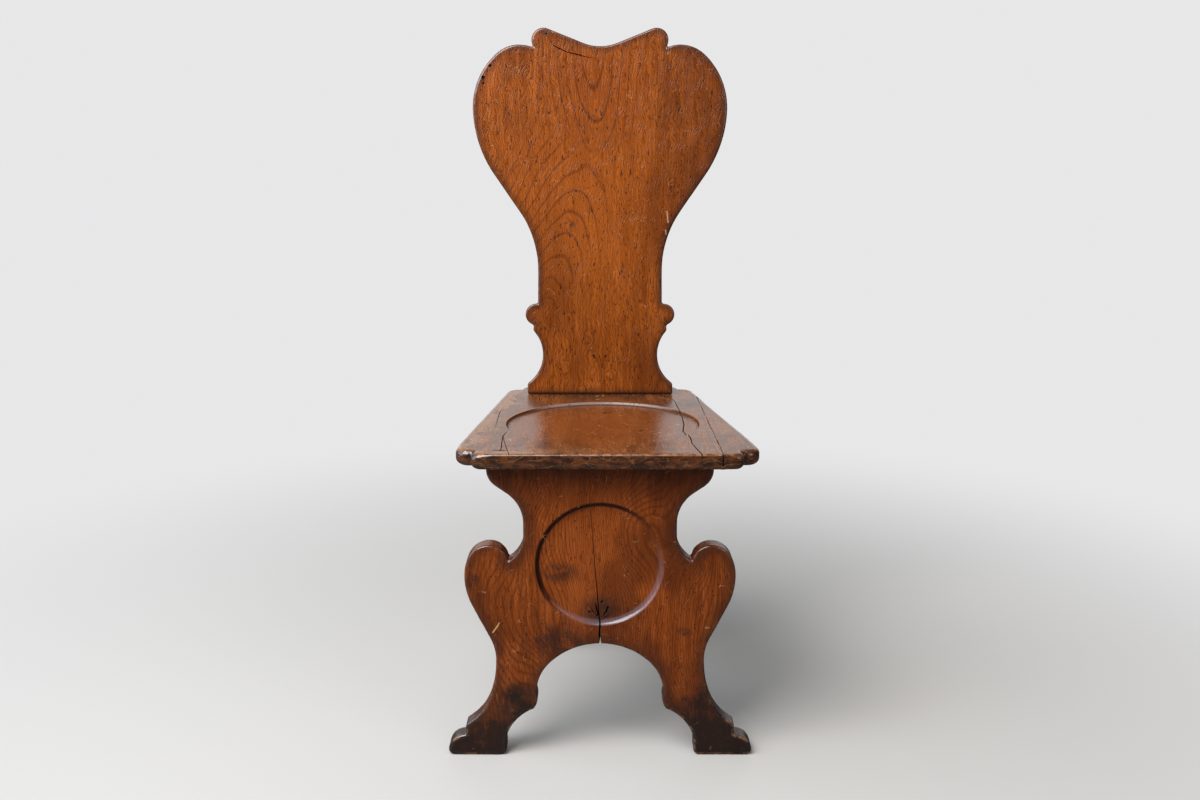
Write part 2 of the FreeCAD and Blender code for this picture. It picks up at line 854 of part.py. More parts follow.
os.makedirs("parts", exist_ok=True)
for piece in pieces:
    piece.Shape.exportStep(f"parts/{piece.Label}.step")
    print(f"{piece.Label}: {len(piece.Shape.Solids)} solids, {piece.Shape.Volume / 1000:.1f} cm3")
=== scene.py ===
"""Looks of an old plank chair: boards with worn arrises and open cracks, in waxed brown wood."""

import bpy
import math
from collections import namedtuple
from mathutils import Matrix, Vector
from mathutils.kdtree import KDTree


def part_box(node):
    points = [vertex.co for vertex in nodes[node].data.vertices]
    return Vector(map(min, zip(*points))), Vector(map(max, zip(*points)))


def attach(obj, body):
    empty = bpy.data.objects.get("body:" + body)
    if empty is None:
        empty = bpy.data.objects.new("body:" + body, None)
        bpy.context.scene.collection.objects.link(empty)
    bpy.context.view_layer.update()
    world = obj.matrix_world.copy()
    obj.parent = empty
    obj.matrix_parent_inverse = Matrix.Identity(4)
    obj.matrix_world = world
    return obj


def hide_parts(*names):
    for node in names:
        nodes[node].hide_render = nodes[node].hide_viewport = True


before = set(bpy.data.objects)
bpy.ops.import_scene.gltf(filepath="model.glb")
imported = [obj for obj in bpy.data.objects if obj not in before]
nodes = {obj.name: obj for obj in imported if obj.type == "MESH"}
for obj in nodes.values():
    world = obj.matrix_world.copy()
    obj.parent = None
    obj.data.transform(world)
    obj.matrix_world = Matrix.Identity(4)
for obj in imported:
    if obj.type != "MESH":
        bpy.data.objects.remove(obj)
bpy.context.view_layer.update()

# Places on the chair in metres, as the solids have them to a tenth of a millimetre
MM = 0.001
X, Y, Z = range(3)
Dish = namedtuple("Dish", "centre radius")
seat_low, seat_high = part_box("seat_board")
strip_low, strip_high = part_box("seat_edge_strip")
SEAT_TOP = round(seat_high.z, 4)
SEAT_FRONT = round(seat_low.y, 4)
SEAT_THICKNESS = round(seat_high.z - seat_low.z, 4)
SEAT_MIDDLE = round((seat_low.x + strip_high.x) / 2, 4)
SEAT_DISH = Dish(Vector((0.004, SEAT_FRONT + 0.183, SEAT_TOP)), 0.139)
STRIP_FRONT = round(seat_high.x, 4)
STRIP_END = round(strip_high.y - seat_low.y, 4)
STRIP_TAPER = round((seat_high.x - strip_low.x) / STRIP_END, 4)
FRONT_FACE = round(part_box("front_trestle")[0].y, 4)
FRONT_DISH = Dish(Vector((0, FRONT_FACE, 0.278)), 0.0865)
REAR_RAKE = math.radians(-10)
BACK_RAKE = math.radians(8)
BACK_FOOT = Vector((0, SEAT_FRONT + 0.381, SEAT_TOP))
UPRIGHT_BACK_FOOT = Matrix.Rotation(BACK_RAKE, 3, "X") @ BACK_FOOT


# Modelling with the usual tools

SHARP = math.radians(40)


def only(piece):
    """Makes a piece the only selected one, and the active one."""
    bpy.ops.object.select_all(action="DESELECT")
    piece.select_set(True)
    bpy.context.view_layer.objects.active = piece


def solid_copy(node, name, finish):
    """A copy of a solid in its finish, its loose triangles joined into whole flat faces."""
    piece = bpy.data.objects.new(name, nodes[node].data.copy())
    bpy.context.scene.collection.objects.link(piece)
    piece.data.materials.clear()
    piece.data.materials.append(finish)
    only(piece)
    bpy.ops.object.mode_set(mode="EDIT")
    bpy.ops.mesh.select_all(action="SELECT")
    bpy.ops.mesh.remove_doubles(threshold=0.01 * MM)
    bpy.ops.mesh.dissolve_limited(angle_limit=math.radians(0.5))
    bpy.ops.object.mode_set(mode="OBJECT")
    return piece


def turn(piece, angle):
    """Turns a piece about the chair's cross axis, so that a raked board can be worked on upright."""
    only(piece)
    piece.rotation_euler.x = angle
    bpy.ops.object.transform_apply(location=False, rotation=True, scale=False)


def finish_with(piece, kind, **settings):
    """Adds a modifier and applies it."""
    modifier = piece.modifiers.new(kind.lower(), kind)
    for name, value in settings.items():
        setattr(modifier, name, value)
    only(piece)
    bpy.ops.object.modifier_apply(modifier=modifier.name)


def everywhere(place):
    """Wants every place."""
    return True


def round_arrises(piece, radius, wanted=everywhere):
    """Rounds the sharp edges whose middles are wanted."""
    only(piece)
    bpy.ops.object.mode_set(mode="EDIT")
    bpy.ops.mesh.select_mode(type="EDGE")
    bpy.ops.mesh.select_all(action="DESELECT")
    bpy.ops.mesh.edges_select_sharp(sharpness=SHARP)
    bpy.ops.object.mode_set(mode="OBJECT")
    points = piece.data.vertices
    for edge in piece.data.edges:
        middle = (points[edge.vertices[0]].co + points[edge.vertices[1]].co) / 2
        edge.select = edge.select and wanted(middle)
    bpy.ops.object.mode_set(mode="EDIT")
    bpy.ops.mesh.bevel(offset=radius, offset_type="OFFSET", segments=3, profile=0.5, affect="EDGES")
    bpy.ops.object.mode_set(mode="OBJECT")


def even_out(piece, spacing):
    """Gives a piece an even mesh that is fine enough for wear, and softens it a little."""
    finish_with(piece, "REMESH", mode="VOXEL", voxel_size=spacing)
    finish_with(piece, "SMOOTH", factor=0.5, iterations=1)


def lighten(piece, most):
    """Joins triangles on plain faces until no more than the most are left."""
    piece.data.calc_loop_triangles()
    finish_with(piece, "DECIMATE", ratio=min(1, most / len(piece.data.loop_triangles)))


def level_soles(piece):
    """Sets the points of the soles on the floor."""
    highest = 0.8 * MM
    for point in piece.data.vertices:
        if point.co.z < highest:
            point.co.z = 0


def hand_over(piece, node):
    """Lets a piece stand for its solid."""
    only(piece)
    bpy.ops.object.shade_smooth_by_angle(angle=SHARP)
    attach(piece, "root")
    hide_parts(node)


# Wear of the faces and arrises

def waves(name, size, depth):
    """A cloud pattern that a surface can be pushed about by."""
    pattern = bpy.data.textures.new(name, "CLOUDS")
    pattern.noise_scale = size
    pattern.noise_depth = depth
    return pattern


UNEVEN = waves("uneven_planing", size=0.060, depth=2)
CHIPPED = waves("chipped_arrises", size=0.012, depth=3)

# How much of a normal points along the axis that the flat faces look along
SIDE_MOST = 0.30
ARRIS_LEAST = 0.25
ARRIS_MOST = 0.94


def arris_points(piece, face_axis, wanted):
    """The points on arrises, between the flat faces and the sides, in the wanted places."""
    points = piece.data.vertices
    return [v for v in points if ARRIS_LEAST < abs(v.normal[face_axis]) < ARRIS_MOST and wanted(v.co)]


def sorted_places(places):
    """Places, sorted for finding the nearest."""
    tree = KDTree(len(places))
    for number, place in enumerate(places):
        tree.insert(place, number)
    tree.balance()
    return tree


def arris_tree(piece, face_axis, wanted=everywhere):
    """The places of the arris points."""
    return sorted_places([point.co for point in arris_points(piece, face_axis, wanted)])


def round_over(piece, on_outline, radii):
    """Rounds the seat's upper and lower arrises along its outline, by each place's radii."""
    sides = [v for v in piece.data.vertices if abs(v.normal.z) < SIDE_MOST and on_outline(v.co)]
    inwards = [-side.normal.xy.normalized() for side in sides]
    outline = sorted_places([(side.co.x, side.co.y, 0) for side in sides])
    for point in piece.data.vertices:
        number, inset = outline.find((point.co.x, point.co.y, 0))[1:]
        upper, lower = radii(point.co)
        for arris, up, radius in ((SEAT_TOP, 1, upper), (SEAT_TOP - SEAT_THICKNESS, -1, lower)):
            out = radius - inset
            high = radius - (arris - point.co.z) * up
            reach = math.hypot(out, high)
            if out > 0 and high > 0 and reach > radius:
                share = radius / reach
                point.co.z = arris - (radius - high * share) * up
                point.co.xy += inwards[number] * out * (1 - share)
    finish_with(piece, "SMOOTH", factor=0.5, iterations=1)


def wear(piece, face_axis, unevenness, chips, wanted=everywhere):
    """Makes the planed faces a little uneven and the arrises chipped."""
    group = piece.vertex_groups.new(name="arrises")
    group.add([v.index for v in arris_points(piece, face_axis, wanted)], 1.0, "REPLACE")
    finish_with(
        piece, "DISPLACE", texture=UNEVEN, texture_coords="LOCAL", strength=unevenness, mid_level=0.5,
    )
    finish_with(
        piece, "DISPLACE", texture=CHIPPED, texture_coords="LOCAL", strength=chips, mid_level=0.55,
        vertex_group="arrises",
    )


def note_rims(piece, arrises):
    """Stores at each point how far it lies from the nearest arris, in mm, for the finish."""
    rims = piece.data.attributes.new("rim", "FLOAT", "POINT")
    rims.data.foreach_set("value", [arrises.find(point.co)[2] / MM for point in piece.data.vertices])


# Cutters for cracks, holes and dishes, drawn in mm on a face and then put in place

def new_cutter(corners, faces, place):
    """A closed cutter from its corners and faces."""
    shape = bpy.data.meshes.new("cutter")
    shape.from_pydata(corners, [], faces)
    shape.transform(place)
    cutter = bpy.data.objects.new("cutter", shape)
    bpy.context.scene.collection.objects.link(cutter)
    only(cutter)
    bpy.ops.object.mode_set(mode="EDIT")
    bpy.ops.mesh.select_all(action="SELECT")
    bpy.ops.mesh.quads_convert_to_tris()
    bpy.ops.mesh.normals_make_consistent(inside=False)
    bpy.ops.object.mode_set(mode="OBJECT")
    return cutter


def crack(points, place, steepness):
    """A wedge along points (across, along, width), as deep as half its width times its steepness."""
    proud = 3
    rings = []
    for number, (across, along, width) in enumerate(points):
        before = Vector(points[max(number - 1, 0)][:2])
        after = Vector(points[min(number + 1, len(points) - 1)][:2])
        side = (after - before).normalized().orthogonal() * (width / 2)
        depth = width / 2 * steepness
        one_lip = (across - side.x, along - side.y, proud)
        other_lip = (across + side.x, along + side.y, proud)
        rings.append([one_lip, other_lip, (across, along, -depth)])
    corners = [Vector(corner) * MM for ring in rings for corner in ring]
    faces = [(0, 1, 2), (len(corners) - 1, len(corners) - 2, len(corners) - 3)]
    for start in range(0, len(corners) - 3, 3):
        for one, other in ((0, 1), (1, 2), (2, 0)):
            faces.append((start + other, start + one, start + one + 3, start + other + 3))
    return new_cutter(corners, faces, place)


def lathe_turned(profile, place):
    """A round shape from pairs of radius and height."""
    steps = 240
    corners = []
    for step in range(steps):
        angle = math.tau * step / steps
        for radius, up in profile:
            corners.append(Vector((radius * math.cos(angle), radius * math.sin(angle), up)) * MM)
    count = len(profile)
    faces = [range(0, len(corners), count), range(len(corners) - 1, 0, -count)]
    for start in range(0, len(corners), count):
        after = (start + count) % len(corners)
        for ring in range(count - 1):
            faces.append((start + ring, after + ring, after + ring + 1, start + ring + 1))
    return new_cutter(corners, faces, place)


def hole(across, along, width, height, depth, place):
    """A small rounded hole."""
    bpy.ops.mesh.primitive_ico_sphere_add(subdivisions=2, radius=MM)
    cutter = bpy.context.object
    centre = Matrix.Translation((across * MM, along * MM, 0))
    shape = centre @ Matrix.Diagonal((width / 2, height / 2, depth, 1))
    cutter.data.transform(place @ shape)
    return cutter


def cut_out(piece, cutters, finish):
    """Cuts the cutters' shapes out of a piece, with walls in their own finish."""
    for cutter in cutters:
        cutter.data.materials.clear()
        cutter.data.materials.append(finish)
        finish_with(
            piece, "BOOLEAN", operation="DIFFERENCE", object=cutter, solver="MANIFOLD",
            material_mode="TRANSFER",
        )
        bpy.data.objects.remove(cutter)


def fill_dish(piece, dish, depth, face):
    """Fills a dish up to the face, so that it can be turned afresh after the board is worn."""
    wider = 1
    deeper = 2
    radius = dish.radius / MM + wider
    place = Matrix.Translation(dish.centre) @ face
    plug = lathe_turned([(radius, 0), (radius, -depth - deeper)], place)
    finish_with(piece, "BOOLEAN", operation="UNION", object=plug, solver="EXACT")
    bpy.data.objects.remove(plug)


def turn_dish(piece, dish, profile, face):
    """Turns a dish whose rim is given by pairs of inset and depth."""
    flare = 0.1
    proud = 2
    radius = dish.radius / MM
    shape = [(radius + flare, proud)] + [(radius - inset, -depth) for inset, depth in profile]
    place = Matrix.Translation(dish.centre) @ face
    cut_out(piece, [lathe_turned(shape, place)], piece.data.materials[0])


# Shader sums: arithmetic on an output adds the nodes that it needs

class Wire:
    """An output of a node."""

    def __init__(self, shading, socket):
        self.shading = shading
        self.socket = socket

    def __add__(self, other):
        return self.shading.maths("ADD", self, other)

    def __sub__(self, other):
        return self.shading.maths("SUBTRACT", self, other)

    def __rsub__(self, other):
        return self.shading.maths("SUBTRACT", other, self)

    def __mul__(self, other):
        return self.shading.maths("MULTIPLY", self, other)

    __radd__ = __add__
    __rmul__ = __mul__


class Shading:
    """A node tree whose nodes are added one by one."""

    def __init__(self, tree):
        self.tree = tree

    def feed(self, socket, value):
        """Links a wire to a socket, or sets the socket to a plain value."""
        if isinstance(value, Wire):
            self.tree.links.new(value.socket, socket)
        elif socket.type == "RGBA":
            socket.default_value = (*value, 1)
        else:
            socket.default_value = value

    def node(self, kind, settings=None, sockets=None, output=0):
        """Adds a node, sets it up, feeds its sockets and gives one of its outputs."""
        node = self.tree.nodes.new(kind)
        for name, value in (settings or {}).items():
            setattr(node, name, value)
        for name, value in (sockets or {}).items():
            self.feed(node.inputs[name], value)
        return Wire(self, node.outputs[output])

    def maths(self, operation, *values):
        return self.node("ShaderNodeMath", {"operation": operation}, dict(enumerate(values)))

    def vector(self, operation, *values, output=0):
        settings = {"operation": operation}
        return self.node("ShaderNodeVectorMath", settings, dict(enumerate(values)), output)

    def rise(self, value, low, high):
        """Climbs softly from 0 at the low value to 1 at the high one."""
        sockets = {"Value": value, "From Min": low, "From Max": high}
        return self.node("ShaderNodeMapRange", {"interpolation_type": "SMOOTHSTEP"}, sockets)

    def blend(self, amount, first, second):
        """A mix of two colours."""
        return self.node("ShaderNodeMix", {"data_type": "RGBA"}, {0: amount, 6: first, 7: second}, 2)

    def axis(self, place, name):
        return self.node("ShaderNodeSeparateXYZ", None, {0: place}, name)

    def ray(self, kind):
        """1 for rays of a kind: seen by the camera, or mirrored by a glossy surface."""
        return self.node("ShaderNodeLightPath", None, None, f"Is {kind} Ray")


class Finish(Shading):
    """A material on the piece's own coordinates."""

    def __init__(self, name):
        self.material = bpy.data.materials.new(name)
        self.material.use_nodes = True
        super().__init__(self.material.node_tree)
        self.shader = self.tree.nodes["Principled BSDF"]
        self.place = self.node("ShaderNodeTexCoord", None, None, "Object")

    def mapped(self, place, rotation, scale=(1, 1, 1)):
        """Places turned and scaled."""
        sockets = {"Vector": place, "Rotation": rotation, "Scale": scale}
        return self.node("ShaderNodeMapping", None, sockets)

    def noise(self, place, scale, detail=2, roughness=0.5, distortion=0, output="Fac"):
        sockets = {"Vector": place, "Scale": scale, "Detail": detail}
        sockets |= {"Roughness": roughness, "Distortion": distortion}
        return self.node("ShaderNodeTexNoise", None, sockets, output)

    def spot(self, centre, size):
        """A soft spot: 1 near its centre, 0 from its size outwards."""
        share = self.vector("DIVIDE", self.vector("SUBTRACT", self.place, centre), size)
        return 1 - self.rise(self.vector("LENGTH", share, output="Value"), 0.3, 1)

    def blot(self, centre, size):
        """A patchy spot."""
        patchy = self.noise(self.place, scale=62, detail=4, roughness=0.68)
        return self.spot(centre, size) * self.rise(patchy, 0.28, 0.56)

    def stroke(self, start, end, width):
        """A thin straight mark between two points."""
        along = end - start
        away = self.vector("SUBTRACT", self.place, start)
        share = self.vector("DOT_PRODUCT", away, along / along.length_squared, output="Value")
        share = self.node("ShaderNodeClamp", None, {"Value": share})
        nearest = self.node("ShaderNodeVectorMath", {"operation": "SCALE"}, {0: along, "Scale": share})
        distance = self.vector("DISTANCE", away, nearest, output="Value")
        return 1 - self.rise(distance, width * 0.25, width * 0.5)

    def cover(self, colour, roughness, metallic=0):
        self.feed(self.shader.inputs["Base Color"], colour)
        self.feed(self.shader.inputs["Roughness"], roughness)
        self.feed(self.shader.inputs["Metallic"], metallic)

    def relief(self, height, depth, strength):
        sockets = {"Strength": strength, "Distance": depth, "Height": height}
        self.feed(self.shader.inputs["Normal"], self.node("ShaderNodeBump", None, sockets))


# Old waxed wood

PORE = (0.020, 0.006, 0.003)
HOLE = (0.012, 0.006, 0.004)
DIRT = (0.040, 0.013, 0.006)
BARE = (0.42, 0.20, 0.085)
RUBBED = (0.30, 0.125, 0.046)


class Wood(Finish):
    """Old wood in its own grain space: grain along Z, the board's face towards -Y."""

    def __init__(self, name, rotation, swirl):
        super().__init__(name)
        self.board = self.mapped(self.place, rotation)
        drift = self.noise(self.drawn_out(self.board, 0.5), scale=7, detail=3, output="Color")
        drift = self.vector("SUBTRACT", drift, (0.5, 0.5, 0.5))
        drift = self.vector("MULTIPLY", drift, (swirl, swirl, swirl))
        self.grain = self.vector("ADD", self.board, drift)
        self.streaks = self.noise(self.drawn_out(self.grain, 0.09), scale=75, detail=4, roughness=0.6)
        self.fibre = self.noise(self.drawn_out(self.grain, 0.11), scale=330, detail=3, roughness=0.65)
        self.curls = self.swirls(scale=60, bulge=0.024, spacing=0.0046)
        dots = self.noise(self.drawn_out(self.grain, 0.24), scale=440, detail=1)
        self.pores = self.rise(dots, 0.65, 0.69)
        self.mottle = self.noise(self.drawn_out(self.board, 0.6), scale=11, detail=3, roughness=0.55)
        self.rim = self.node("ShaderNodeAttribute", {"attribute_name": "rim"}, None, "Fac")

    def drawn_out(self, place, along):
        """Draws a pattern out along the grain."""
        return self.mapped(place, (0, 0, 0), (1, 1, along))

    def threads(self, place, scale, distortion, thinness):
        """Thin wandering lines, where a cloud pattern crosses its middle value."""
        pattern = self.noise(place, scale, detail=1, distortion=distortion)
        return 1 - self.rise(self.maths("ABSOLUTE", pattern - 0.5), thinness * 0.5, thinness)

    def late_lines(self, growth, spacing, start):
        """The dark late wood at the end of each year's growth."""
        share = self.maths("FRACT", growth * (1 / spacing))
        return self.rise(share, start, 0.85) * (1 - self.rise(share, 0.88, 1.0))

    def rings(self, pith, tilt, spacing):
        """Growth rings round a tilted pith: where it nears the face they show as arches."""
        away = self.mapped(self.vector("SUBTRACT", self.grain, pith), tilt)
        radius = self.vector("LENGTH", self.vector("MULTIPLY", away, (1, 1, 0)), output="Value")
        return self.late_lines(radius, spacing, start=0.74)

    def swirls(self, scale, bulge, spacing):
        """Lines that run up the board and curl round hidden knots."""
        knots = self.noise(self.drawn_out(self.grain, 0.6), scale, detail=1)
        return self.late_lines(self.axis(self.grain, "X") + knots * bulge, spacing, start=0.45)

    def worm_holes(self, scale, width):
        """Small dark dots, scattered thinly."""
        cells = {"Vector": self.board, "Scale": scale}
        away = self.node("ShaderNodeTexVoronoi", None, cells, "Distance")
        chance = self.axis(self.node("ShaderNodeTexVoronoi", None, cells, "Color"), "X")
        return (1 - self.rise(away, width * 0.6, width)) * self.rise(chance, 0.52, 0.56)

    def scratches(self, scale, thinness):
        """Fine lines that wander over the surface, broken up."""
        seldom = self.rise(self.noise(self.board, scale * 1.7), 0.54, 0.62)
        return self.threads(self.board, scale, distortion=0.6, thinness=thinness) * seldom

    def near_edge(self, reach, scale, low, high):
        """A patchy band along the arrises, with its reach in mm."""
        patchy = self.rise(self.noise(self.board, scale, detail=4, roughness=0.6), low, high)
        return (1 - self.rise(self.rim, 0, reach)) * patchy

    def worn_arris(self):
        """A band along the arrises, where handling has polished them."""
        return 1 - self.rise(self.rim, 1, 5)

    def dish_rim(self, dish, inset, reach):
        """A band at the rim's distance from a dish's centre, on any face that lies there."""
        away = self.vector("DISTANCE", self.place, dish.centre, output="Value")
        return 1 - self.rise(self.maths("ABSOLUTE", away - (dish.radius - inset)), reach * 0.4, reach)

    def plain(self, dark, light, softness):
        """Starts with the plain grain, between its dark and its light colour."""
        tone = self.streaks * 0.5 + self.fibre * 0.5
        self.colour = self.blend(self.rise(tone, 0.5 - softness, 0.5 + softness), dark, light)

    def tint(self, amount, colour):
        """Lays a colour over those before it, by an amount from 0 to 1."""
        self.colour = self.blend(amount, self.colour, colour)

    def mark(self, marks, colour):
        """Lays on strokes (start, end, width) and blots (centre, size) of one colour."""
        for mark in marks:
            shape = self.stroke(*mark) if len(mark) == 3 else self.blot(*mark)
            self.tint(shape * 0.8, colour)

    def age(self, pores, dirt, dirt_reach, rubbed=0, rubbed_reach=0):
        """Lays on pores, worm holes, dirt along the edges, scratches and rubbed arrises."""
        self.tint(self.pores * pores, PORE)
        self.tint(self.worm_holes(scale=130, width=0.165) * 0.9, HOLE)
        self.tint(self.near_edge(dirt_reach, scale=26, low=0.22, high=0.52) * dirt, DIRT)
        self.tint(self.scratches(scale=36, thinness=0.0055) * 0.45, BARE)
        if rubbed:
            self.tint(self.near_edge(rubbed_reach, scale=70, low=0.46, high=0.60) * rubbed, RUBBED)

    def wax(self, shine, roughness, curl, polished):
        """Waxes the wood, with the relief of its grain and curled lines; glossier where polished."""
        self.shader.inputs["Specular IOR Level"].default_value = shine
        self.shader.inputs["Coat Roughness"].default_value = 0.16
        self.shader.inputs["Coat IOR"].default_value = 2.0
        self.feed(self.shader.inputs["Coat Weight"], polished)
        self.cover(self.colour, roughness + (self.streaks - 0.5) * 0.25)
        height = self.fibre * 0.3 - self.curls * curl + self.streaks * 0.4 - self.pores * 0.15
        self.relief(height, depth=0.8 * MM, strength=0.55)
        return self.material


# Wood of the back

def on_back(across, along):
    """A point on the back's face, from mm across and along the board."""
    return BACK_FOOT + Matrix.Rotation(-BACK_RAKE, 3, "X") @ Vector((across, 0, along)) * MM


def back_ground(wood):
    """Orange-brown with curled lines, lightest in the middle, darker low on the left, and with painted
    shade to the right.
    """
    dark, light = (0.150, 0.032, 0.0035), (0.345, 0.083, 0.0085)
    curled = (0.085, 0.017, 0.0020)
    right_shade = (0.075, 0.016, 0.003)
    mottled = (0.115, 0.025, 0.0035)
    middle_glow = (0.330, 0.080, 0.0085)
    left_shade = (0.100, 0.022, 0.003)
    rightwards = wood.axis(wood.board, "X") + (wood.mottle - 0.5) * 0.25
    wood.plain(dark, light, softness=0.18)
    wood.tint(wood.curls * 0.60, curled)
    # painted shade: the right part of the board darkened, as on the side turned from the light
    wood.tint(wood.rise(rightwards, 0.03, 0.20) * 0.72, right_shade)
    wood.tint(wood.rise(wood.mottle, 0.50, 0.70) * 0.50, mottled)
    wood.tint(wood.spot(on_back(10, 300), (0.10, 0.10, 0.30)) * 0.30, middle_glow)
    wood.tint(wood.spot(on_back(-90, 190), (0.07, 0.07, 0.14)) * 0.55, left_shade)


def back_figure(wood):
    """Arched growth lines on the left, and hanging ones under the crest."""
    arch_ground, crown_ground = (0.260, 0.060, 0.0070), (0.190, 0.038, 0.0045)
    late_wood = (0.065, 0.014, 0.003)
    arch_pith = UPRIGHT_BACK_FOOT + Vector((-0.110, 0, 0.040))
    arches = wood.rings(arch_pith, (math.radians(16), math.radians(-15), 0), spacing=0.0100)
    arched = wood.spot(on_back(-75, 300), (0.13, 0.13, 0.20))
    crown_pith = UPRIGHT_BACK_FOOT + Vector((-0.008, 0, 0.600))
    crown = wood.rings(crown_pith, (math.radians(-13), 0, 0), spacing=0.0120)
    crowned = wood.spot(on_back(-6, 478), (0.11, 0.11, 0.13))
    wood.tint(arched * 0.45, arch_ground)
    wood.tint(arches * (0.10 + arched * 0.42) * (1 - crowned), late_wood)
    wood.tint(crowned * 0.30, crown_ground)
    wood.tint(crown * crowned * 0.62, late_wood)


def back_marks(wood):
    """Two dark spots, two pale rubs at the right edge, and a painted contact shadow along the foot."""
    spots = [(on_back(-44, 270), (0.006, 0.02, 0.008)), (on_back(-85, 568), (0.007, 0.02, 0.006))]
    wood.mark(spots, (0.060, 0.030, 0.020))
    rubs = [
        (on_back(106, 291), on_back(108, 274), 3 * MM),
        (on_back(104, 262), on_back(105, 255), 2 * MM),
    ]
    wood.mark(rubs, (0.40, 0.25, 0.15))
    foot = UPRIGHT_BACK_FOOT.z
    # painted shadow: the lowest few mm of the board darkened where it stands on the seat
    contact_shadow = 1 - wood.rise(wood.axis(wood.board, "Z"), foot + 2 * MM, foot + 6 * MM)
    wood.tint(contact_shadow * 0.85, HOLE)


def back_wood():
    """Waxed wood with the figure and the marks of the back."""
    wood = Wood("back_wood", (BACK_RAKE, 0, 0), swirl=0.030)
    back_ground(wood)
    back_figure(wood)
    wood.age(pores=0.76, dirt=0.66, dirt_reach=14, rubbed=0.15, rubbed_reach=2.5)
    back_marks(wood)
    return wood.wax(shine=0.22, roughness=0.26, curl=0.38, polished=wood.worn_arris() * 0.2)


# Wood of the seat

def on_seat(across, depth):
    """A point on the seat's face, from mm across and behind its front."""
    return Vector((across * MM, SEAT_FRONT + depth * MM, SEAT_TOP))


def seat_ground(wood):
    """Dull brown with dark swirls, rich in the dish and bleached towards the left edge."""
    dark, light = (0.080, 0.025, 0.0075), (0.220, 0.068, 0.0180)
    mottled = (0.060, 0.022, 0.009)
    swirled = (0.035, 0.012, 0.005)
    rich = (0.210, 0.049, 0.0065)
    bleached = (0.290, 0.135, 0.055)
    left = 1 - wood.rise(wood.axis(wood.place, "X"), -0.16, 0.02)
    wood.plain(dark, light, softness=0.14)
    wood.tint(wood.rise(wood.mottle, 0.46, 0.60) * 0.60, mottled)
    wood.tint(wood.swirls(scale=9, bulge=0.14, spacing=0.006) * 0.35, swirled)
    wood.tint(wood.spot(SEAT_DISH.centre, (0.17, 0.17, 0.17)) * 0.55, rich)
    edges = wood.near_edge(reach=44, scale=26, low=0.46, high=0.52)
    wood.tint(edges * (0.15 + left * 0.60), bleached)


def seat_dish_rim(wood):
    """Dark in the cove of the rim, rubbed along its far side, with a painted pale reflection on its
    farthest arris.
    """
    cove, rubbed, polished = (0.055, 0.018, 0.007), (0.330, 0.110, 0.028), (0.340, 0.280, 0.265)
    behind = wood.axis(wood.place, "Y")
    middle = SEAT_DISH.centre.y
    far = wood.rise(behind, middle, middle + 0.04)
    farthest = wood.rise(behind, middle + 0.08, middle + 0.12)
    wood.tint(wood.dish_rim(SEAT_DISH, inset=3 * MM, reach=4 * MM) * 0.80, cove)
    wood.tint(wood.dish_rim(SEAT_DISH, inset=-1 * MM, reach=2 * MM) * far * 0.50, rubbed)
    # painted reflection: the pale bluish grey on the farthest arris stands in for reflected light
    wood.tint(wood.dish_rim(SEAT_DISH, inset=0, reach=3 * MM) * farthest * 0.50, polished)


def seat_edge(wood):
    """Dark and streaked on the edge, which starts lower along the sides, and tan on the upper arris."""
    brown, black = (0.105, 0.033, 0.0110), (0.020, 0.009, 0.006)
    pale_thread = (0.240, 0.100, 0.042)
    tan = (0.330, 0.125, 0.040)
    from_dish = wood.vector("DISTANCE", wood.place, SEAT_DISH.centre, output="Value")
    outside = wood.rise(from_dish, SEAT_DISH.radius, SEAT_DISH.radius + 2 * MM)
    beside = wood.rise(wood.axis(wood.place, "Y"), SEAT_FRONT + 0.02, SEAT_FRONT + 0.06)
    level = wood.axis(wood.place, "Z") + beside * (4 * MM)
    edge = (1 - wood.rise(level, SEAT_TOP - 3.2 * MM, SEAT_TOP - 1.4 * MM)) * outside
    drawn = wood.mapped(wood.place, (0, 0, 0), (0.45, 0.45, 1))
    stained = wood.rise(wood.noise(drawn, scale=120, detail=4, roughness=0.66), 0.34, 0.62)
    edging = wood.blend(stained, brown, black)
    threads = wood.threads(drawn, scale=95, distortion=0.8, thinness=0.026)
    edging = wood.blend(threads * 0.42, edging, pale_thread)
    wood.tint(edge * 0.96, edging)
    upper = wood.rise(level, SEAT_TOP - 3.0 * MM, SEAT_TOP - 1.2 * MM)
    wood.tint(wood.near_edge(reach=3, scale=75, low=0.42, high=0.56) * upper * 0.70, tan)


def seat_wood():
    """Waxed wood, scratched all over, with a rich dish and a dark edge."""
    wood = Wood("seat_wood", (math.pi / 2, 0, 0), swirl=0.030)
    seat_ground(wood)
    seat_dish_rim(wood)
    wood.age(pores=0.55, dirt=0.50, dirt_reach=10)
    wood.tint(wood.scratches(scale=21, thinness=0.006) * 0.85, HOLE)
    wood.tint(wood.scratches(scale=29, thinness=0.008) * 0.60, BARE)
    seat_edge(wood)
    # painted shadow: black spots in the two notches between the front noses and the seat
    notch_shadow = (0.012, 0.012, 0.03)
    wood.mark([(on_seat(-168, 16), notch_shadow), (on_seat(189, 16), notch_shadow)], HOLE)
    return wood.wax(shine=0.28, roughness=0.23, curl=0.10, polished=wood.worn_arris() * 0.35)


# Wood of the trestles

def on_front(across, level):
    """A point on the front trestle's face, from mm across and above the floor."""
    return Vector((across * MM, FRONT_FACE, level * MM))


